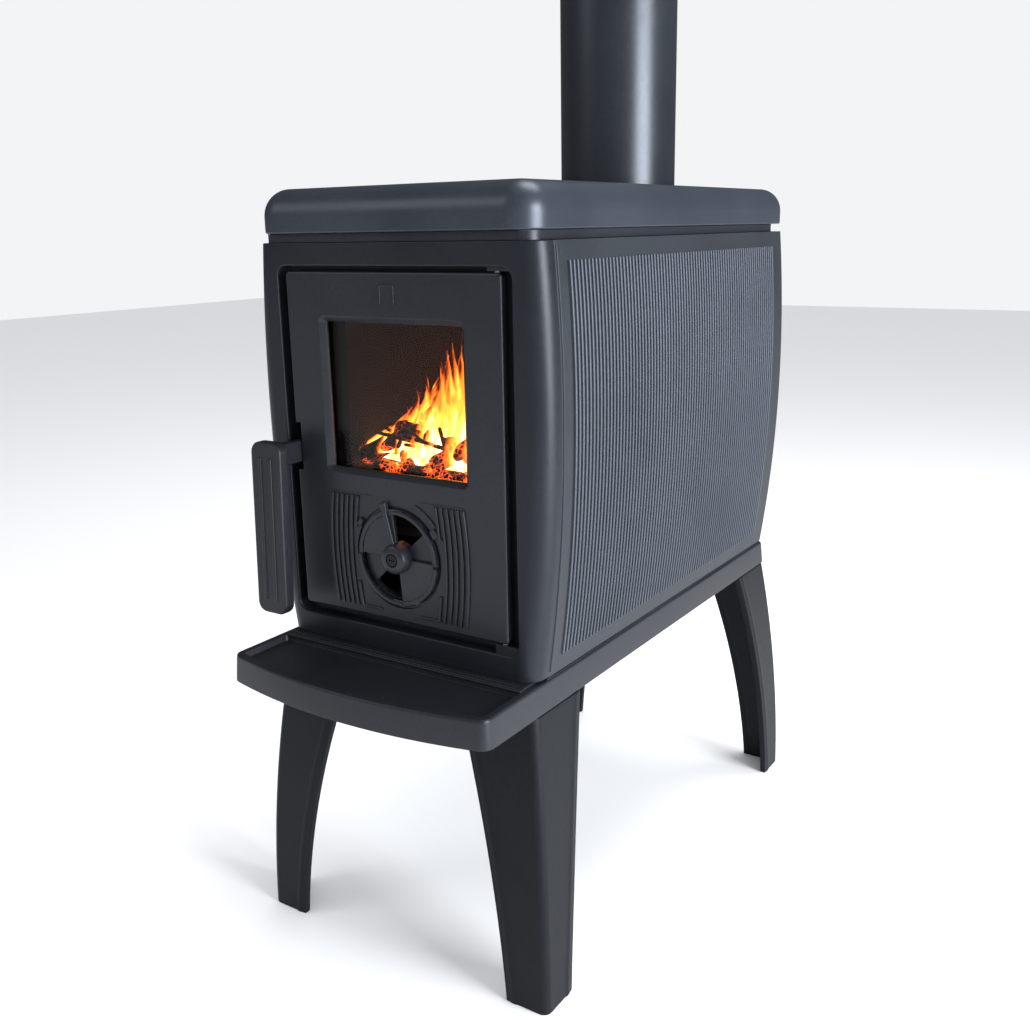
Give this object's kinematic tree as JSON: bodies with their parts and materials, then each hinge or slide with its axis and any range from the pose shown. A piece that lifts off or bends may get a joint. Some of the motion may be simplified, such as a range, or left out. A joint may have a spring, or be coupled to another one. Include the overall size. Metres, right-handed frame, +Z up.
{
  "type": "wood burning stove",
  "caption": "Cast-iron wood burning stove on flared legs: fluted bulged sides, glazed door with a rotary air disc and a lift-up handle, front ash shelf, top flue pipe.",
  "frame": {"origin": "on the floor, under the middle of the whole stove's bounding box", "axes": "+Z up; -Y towards the door side (front); +X to the right of someone facing the front; x = 0 is the plane of symmetry"},
  "size_m": [0.3316, 0.6314, 0.954],
  "materials": {
    "cast_black": "matt",
    "cast_raw": "rough",
    "pipe_paint": "satin",
    "steel": "satin",
    "zinc_sheet": "satin",
    "fire_brick": "rough",
    "glass": "clear",
    "rope": "rough"
  },
  "bodies": {
    "stove": {"base_plate": "cast_black", "front_plate": "cast_black", "side_panel_left": "cast_black", "side_panel_right": "cast_black", "rear_panel": "cast_black", "upper_frame": "cast_black", "top_plate": "cast_black", "leg_front_left": "cast_black", "leg_front_right": "cast_black", "leg_rear_left": "cast_black", "leg_rear_right": "cast_black", "flue_collar": "cast_raw", "hearth_plate": "cast_raw", "fire_grate": "cast_raw", "log_retainer": "cast_raw", "flue_pipe": "pipe_paint", "ash_pan": "zinc_sheet", "liner_left": "fire_brick", "liner_right": "fire_brick", "liner_rear": "fire_brick", "baffle_plate": "fire_brick", "leg_bolts": "steel", "flue_collar_bolts": "steel", "tie_rods": "steel", "tie_rod_nuts": "steel", "hinge_pins": "steel"},
    "door": {"door": "cast_black", "door_glass": "glass", "glass_gasket": "rope", "glass_clips": "steel", "glass_clip_screws": "steel", "door_seal": "rope", "handle_pin": "steel", "disc_screw": "steel", "disc_spring_washer": "steel", "disc_nut": "steel"},
    "handle": {"handle_lever": "cast_black"},
    "air_regulator": {"air_disc": "cast_black"}
  },
  "joints": [
    {"name": "door_hinge", "type": "hinge", "parent": "stove", "child": "door", "pos_m": [0.109, -0.2185, 0.48085], "axis": [0, 0, 1], "range_deg": [0, 110]},
    {"name": "handle_lift", "type": "hinge", "parent": "door", "child": "handle", "pos_m": [-0.11425, -0.2085, 0.473], "axis": [-1, 0, 0], "range_deg": [0, 35]},
    {"name": "air_regulator_turn", "type": "hinge", "parent": "door", "child": "air_regulator", "pos_m": [0, -0.2231, 0.3875], "axis": [0, -1, 0], "range_deg": [-62, 32]}
  ]
}
